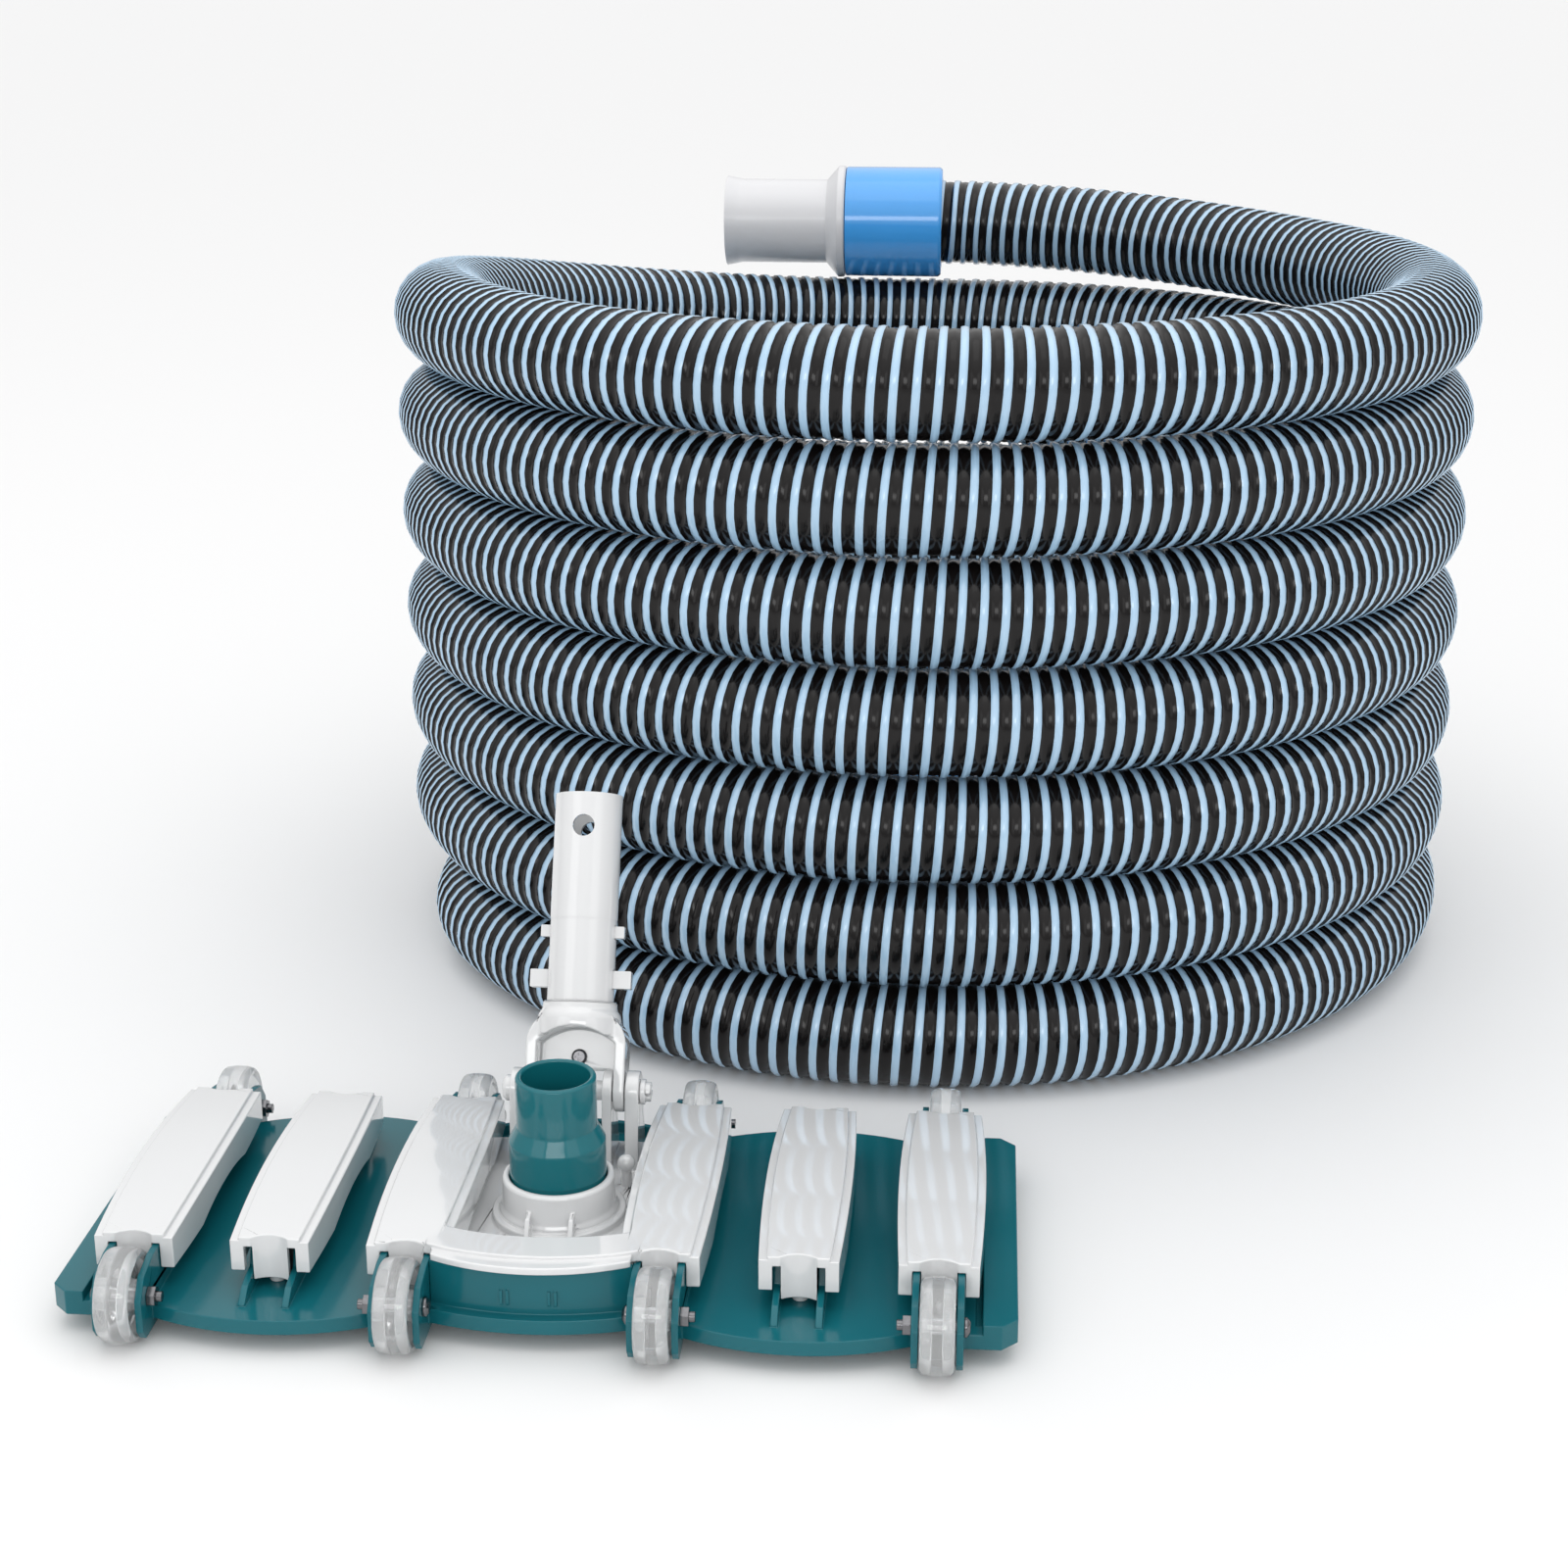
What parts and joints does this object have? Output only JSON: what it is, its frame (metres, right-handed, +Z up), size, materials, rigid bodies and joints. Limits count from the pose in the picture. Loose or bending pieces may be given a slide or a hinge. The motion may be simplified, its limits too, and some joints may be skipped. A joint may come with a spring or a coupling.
{
  "type": "pool vacuum head with hose",
  "caption": "Weighted flexible swimming-pool vacuum head on clear wheels, with a swivel hose connector, tilting pole handle and coiled suction hose.",
  "frame": {"origin": "on the floor, under the swivel connector's axis, midway between the front and rear wheels", "axes": "+X to the right along the wide plate, +Y from the front edge towards the handle and the hose, +Z up"},
  "size_m": [0.5829, 0.7831, 0.3586],
  "materials": {
    "teal_vinyl": "satin moulded vinyl",
    "teal_plastic": "gloss",
    "white_plastic": "gloss",
    "clear_acrylic": "clear, polished",
    "chrome": "polished",
    "spring_steel": "satin",
    "black_rubber": "matte",
    "ballast_iron": "rough",
    "hose_plastic": "gloss with pale blue spiral ribs",
    "blue_plastic": "gloss",
    "cuff_white": "satin"
  },
  "bodies": {
    "head": {"flex_plate": "teal_vinyl", "centre_frame": "white_plastic", "bottom_plate": "white_plastic", "retaining_ring": "white_plastic", "base_screws": "chrome", "cover_screws": "chrome", "axle_bolts": "chrome", "axle_nuts": "chrome", "pivot_pin": "white_plastic", "pin_collar": "white_plastic", "rib_cover_1": "white_plastic", "rib_cover_2": "white_plastic", "rib_cover_5": "white_plastic", "rib_cover_6": "white_plastic", "ballast_bar_1": "ballast_iron", "ballast_bar_2": "ballast_iron", "ballast_bar_3": "ballast_iron", "ballast_bar_4": "ballast_iron", "ballast_bar_5": "ballast_iron", "ballast_bar_6": "ballast_iron"},
    "connector": {"swivel_connector": "teal_plastic", "swivel_seal": "black_rubber"},
    "handle": {"handle_yoke": "white_plastic", "handle_tube": "white_plastic", "yoke_screw": "chrome", "clip_spring": "spring_steel"},
    "clip_left": {"clip_arm_left": "white_plastic"},
    "clip_right": {"clip_arm_right": "white_plastic"},
    "hose": {"hose_coil": "hose_plastic", "hose_foot": "hose_plastic", "hose_end": "hose_plastic", "cuff_sleeve": "blue_plastic", "cuff_washer": "black_rubber", "plain_cuff_sleeve": "blue_plastic", "plain_cuff_socket": "cuff_white"},
    "hose_cuff": {"cuff_nozzle": "cuff_white"},
    "wheel_front_far_left": {"wheel_front_far_left": "clear_acrylic"},
    "wheel_front_left": {"wheel_front_left": "clear_acrylic"},
    "wheel_front_right": {"wheel_front_right": "clear_acrylic"},
    "wheel_front_far_right": {"wheel_front_far_right": "clear_acrylic"},
    "wheel_rear_far_left": {"wheel_rear_far_left": "clear_acrylic"},
    "wheel_rear_left": {"wheel_rear_left": "clear_acrylic"},
    "wheel_rear_right": {"wheel_rear_right": "clear_acrylic"},
    "wheel_rear_far_right": {"wheel_rear_far_right": "clear_acrylic"}
  },
  "joints": [
    {"name": "connector_swivel", "type": "hinge", "parent": "head", "child": "connector", "pos_m": [0, 0, 0.04], "axis": [0, 0, 1], "continuous": true},
    {"name": "handle_tilt", "type": "hinge", "parent": "head", "child": "handle", "pos_m": [0, 0.05, 0.046], "axis": [1, 0, 0], "range_deg": [-46, 44]},
    {"name": "clip_left_press", "type": "slide", "parent": "handle", "child": "clip_left", "axis": [1, 0, 0], "range_m": [0, 0.0036], "stiffness_N_per_m": 1500},
    {"name": "clip_right_press", "type": "slide", "parent": "handle", "child": "clip_right", "axis": [-1, 0, 0], "range_m": [0, 0.0036], "stiffness_N_per_m": 1500},
    {"name": "hose_lift", "type": "slide", "parent": "head", "child": "hose", "axis": [0, 0, 1], "range_m": [0, 0.25]},
    {"name": "hose_cuff_swivel", "type": "hinge", "parent": "hose", "child": "hose_cuff", "pos_m": [0.0535, 0.653, 0.3265], "axis": [1, 0, 0], "continuous": true},
    {"name": "roll_front_far_left", "type": "hinge", "parent": "head", "child": "wheel_front_far_left", "pos_m": [-0.1515, -0.08, 0.018], "axis": [1, 0, 0], "continuous": true},
    {"name": "roll_front_left", "type": "hinge", "parent": "head", "child": "wheel_front_left", "pos_m": [-0.04775, -0.08, 0.018], "axis": [1, 0, 0], "continuous": true},
    {"name": "roll_front_right", "type": "hinge", "parent": "head", "child": "wheel_front_right", "pos_m": [0.04775, -0.08, 0.018], "axis": [1, 0, 0], "continuous": true},
    {"name": "roll_front_far_right", "type": "hinge", "parent": "head", "child": "wheel_front_far_right", "pos_m": [0.1515, -0.08, 0.018], "axis": [1, 0, 0], "continuous": true},
    {"name": "roll_rear_far_left", "type": "hinge", "parent": "head", "child": "wheel_rear_far_left", "pos_m": [-0.1515, 0.08, 0.018], "axis": [1, 0, 0], "continuous": true},
    {"name": "roll_rear_left", "type": "hinge", "parent": "head", "child": "wheel_rear_left", "pos_m": [-0.04775, 0.08, 0.018], "axis": [1, 0, 0], "continuous": true},
    {"name": "roll_rear_right", "type": "hinge", "parent": "head", "child": "wheel_rear_right", "pos_m": [0.04775, 0.08, 0.018], "axis": [1, 0, 0], "continuous": true},
    {"name": "roll_rear_far_right", "type": "hinge", "parent": "head", "child": "wheel_rear_far_right", "pos_m": [0.1515, 0.08, 0.018], "axis": [1, 0, 0], "continuous": true}
  ],
  "couplings": [
    {"joint": "clip_right_press", "follows": "clip_left_press", "ratio": 1}
  ]
}
